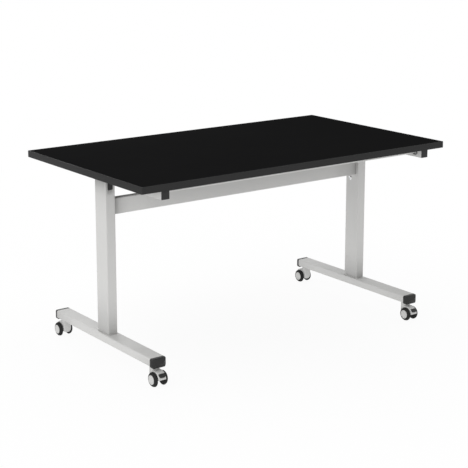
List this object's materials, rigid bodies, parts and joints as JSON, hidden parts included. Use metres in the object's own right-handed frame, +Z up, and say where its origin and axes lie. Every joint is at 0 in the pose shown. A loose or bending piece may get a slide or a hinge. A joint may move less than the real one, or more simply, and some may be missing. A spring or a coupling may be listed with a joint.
{
  "type": "flip top training table",
  "caption": "Rectangular black table on silver T legs with braked twin-wheel castors; a release bar under the front edge unlatches the top so that it flips up for storage.",
  "frame": {"origin": "on the floor, under the middle of the board", "axes": "+X along the board's length, -Y to the front edge with the release bar, +Z up"},
  "size_m": [1.4, 0.8, 0.73],
  "materials": {
    "black_laminate": "matt black laminate on board",
    "black_edging": "satin black edge band",
    "silver_powder_coat": "fine silver powder coat",
    "black_plastic": "moulded, satin",
    "grey_plastic": "light grey moulding",
    "tread_rubber": "soft black tread",
    "zinc_steel": "bright zinc plate"
  },
  "bodies": {
    "frame": {"cross_beam": "silver_powder_coat", "left_column": "silver_powder_coat", "left_foot": "silver_powder_coat", "left_foot_front_cap": "black_plastic", "left_foot_rear_cap": "black_plastic", "left_hinge_pin": "zinc_steel", "right_column": "silver_powder_coat", "right_foot": "silver_powder_coat", "right_foot_front_cap": "black_plastic", "right_foot_rear_cap": "black_plastic", "right_hinge_pin": "zinc_steel", "front_left_castor_stem": "zinc_steel", "front_right_castor_stem": "zinc_steel", "rear_left_castor_stem": "zinc_steel", "rear_right_castor_stem": "zinc_steel"},
    "top": {"table_top": "black_laminate", "edge_band": "black_edging", "left_rail": "silver_powder_coat", "left_rail_front_cap": "black_plastic", "left_rail_rear_cap": "black_plastic", "left_hinge_arm": "zinc_steel", "left_bar_bush": "black_plastic", "left_return_spring": "zinc_steel", "right_rail": "silver_powder_coat", "right_rail_front_cap": "black_plastic", "right_rail_rear_cap": "black_plastic", "right_hinge_arm": "zinc_steel", "right_bar_bush": "black_plastic", "right_return_spring": "zinc_steel"},
    "release": {"release_bar": "silver_powder_coat", "left_pull_rod": "zinc_steel", "left_latch_bolt": "black_plastic", "right_pull_rod": "zinc_steel", "right_latch_bolt": "black_plastic"},
    "front_left_castor": {"front_left_castor_hood": "grey_plastic", "front_left_castor_axle": "zinc_steel"},
    "front_left_outer_wheel": {"front_left_outer_tyre": "tread_rubber", "front_left_outer_hub": "grey_plastic"},
    "front_left_inner_wheel": {"front_left_inner_tyre": "tread_rubber", "front_left_inner_hub": "grey_plastic"},
    "front_left_brake": {"front_left_brake_pedal": "black_plastic"},
    "front_right_castor": {"front_right_castor_hood": "grey_plastic", "front_right_castor_axle": "zinc_steel"},
    "front_right_outer_wheel": {"front_right_outer_tyre": "tread_rubber", "front_right_outer_hub": "grey_plastic"},
    "front_right_inner_wheel": {"front_right_inner_tyre": "tread_rubber", "front_right_inner_hub": "grey_plastic"},
    "front_right_brake": {"front_right_brake_pedal": "black_plastic"},
    "rear_left_castor": {"rear_left_castor_hood": "grey_plastic", "rear_left_castor_axle": "zinc_steel"},
    "rear_left_outer_wheel": {"rear_left_outer_tyre": "tread_rubber", "rear_left_outer_hub": "grey_plastic"},
    "rear_left_inner_wheel": {"rear_left_inner_tyre": "tread_rubber", "rear_left_inner_hub": "grey_plastic"},
    "rear_right_castor": {"rear_right_castor_hood": "grey_plastic", "rear_right_castor_axle": "zinc_steel"},
    "rear_right_outer_wheel": {"rear_right_outer_tyre": "tread_rubber", "rear_right_outer_hub": "grey_plastic"},
    "rear_right_inner_wheel": {"rear_right_inner_tyre": "tread_rubber", "rear_right_inner_hub": "grey_plastic"}
  },
  "joints": [
    {"name": "top_flip", "type": "hinge", "parent": "frame", "child": "top", "pos_m": [0, 0.02, 0.652], "axis": [-1, 0, 0], "range_deg": [0, 90]},
    {"name": "release_pull", "type": "slide", "parent": "top", "child": "release", "axis": [0, -1, 0], "range_m": [0, 0.012], "stiffness_N_per_m": 400, "springref_m": -0.02, "deforming": ["left_return_spring", "right_return_spring"]},
    {"name": "front_left_swivel", "type": "hinge", "parent": "frame", "child": "front_left_castor", "pos_m": [-0.604, -0.31, 0.05], "axis": [0, 0, 1], "continuous": true},
    {"name": "front_left_outer_roll", "type": "hinge", "parent": "front_left_castor", "child": "front_left_outer_wheel", "pos_m": [-0.604, -0.334, 0.0265], "axis": [1, 0, 0], "continuous": true},
    {"name": "front_left_inner_roll", "type": "hinge", "parent": "front_left_castor", "child": "front_left_inner_wheel", "pos_m": [-0.604, -0.334, 0.0265], "axis": [1, 0, 0], "continuous": true},
    {"name": "front_left_brake_press", "type": "hinge", "parent": "front_left_castor", "child": "front_left_brake", "pos_m": [-0.604, -0.334, 0.0265], "axis": [1, 0, 0], "range_deg": [0, 11]},
    {"name": "front_right_swivel", "type": "hinge", "parent": "frame", "child": "front_right_castor", "pos_m": [0.604, -0.31, 0.05], "axis": [0, 0, 1], "continuous": true},
    {"name": "front_right_outer_roll", "type": "hinge", "parent": "front_right_castor", "child": "front_right_outer_wheel", "pos_m": [0.604, -0.334, 0.0265], "axis": [1, 0, 0], "continuous": true},
    {"name": "front_right_inner_roll", "type": "hinge", "parent": "front_right_castor", "child": "front_right_inner_wheel", "pos_m": [0.604, -0.334, 0.0265], "axis": [1, 0, 0], "continuous": true},
    {"name": "front_right_brake_press", "type": "hinge", "parent": "front_right_castor", "child": "front_right_brake", "pos_m": [0.604, -0.334, 0.0265], "axis": [1, 0, 0], "range_deg": [0, 11]},
    {"name": "rear_left_swivel", "type": "hinge", "parent": "frame", "child": "rear_left_castor", "pos_m": [-0.604, 0.31, 0.05], "axis": [0, 0, 1], "continuous": true},
    {"name": "rear_left_outer_roll", "type": "hinge", "parent": "rear_left_castor", "child": "rear_left_outer_wheel", "pos_m": [-0.604, 0.334, 0.0265], "axis": [1, 0, 0], "continuous": true},
    {"name": "rear_left_inner_roll", "type": "hinge", "parent": "rear_left_castor", "child": "rear_left_inner_wheel", "pos_m": [-0.604, 0.334, 0.0265], "axis": [1, 0, 0], "continuous": true},
    {"name": "rear_right_swivel", "type": "hinge", "parent": "frame", "child": "rear_right_castor", "pos_m": [0.604, 0.31, 0.05], "axis": [0, 0, 1], "continuous": true},
    {"name": "rear_right_outer_roll", "type": "hinge", "parent": "rear_right_castor", "child": "rear_right_outer_wheel", "pos_m": [0.604, 0.334, 0.0265], "axis": [1, 0, 0], "continuous": true},
    {"name": "rear_right_inner_roll", "type": "hinge", "parent": "rear_right_castor", "child": "rear_right_inner_wheel", "pos_m": [0.604, 0.334, 0.0265], "axis": [1, 0, 0], "continuous": true}
  ]
}
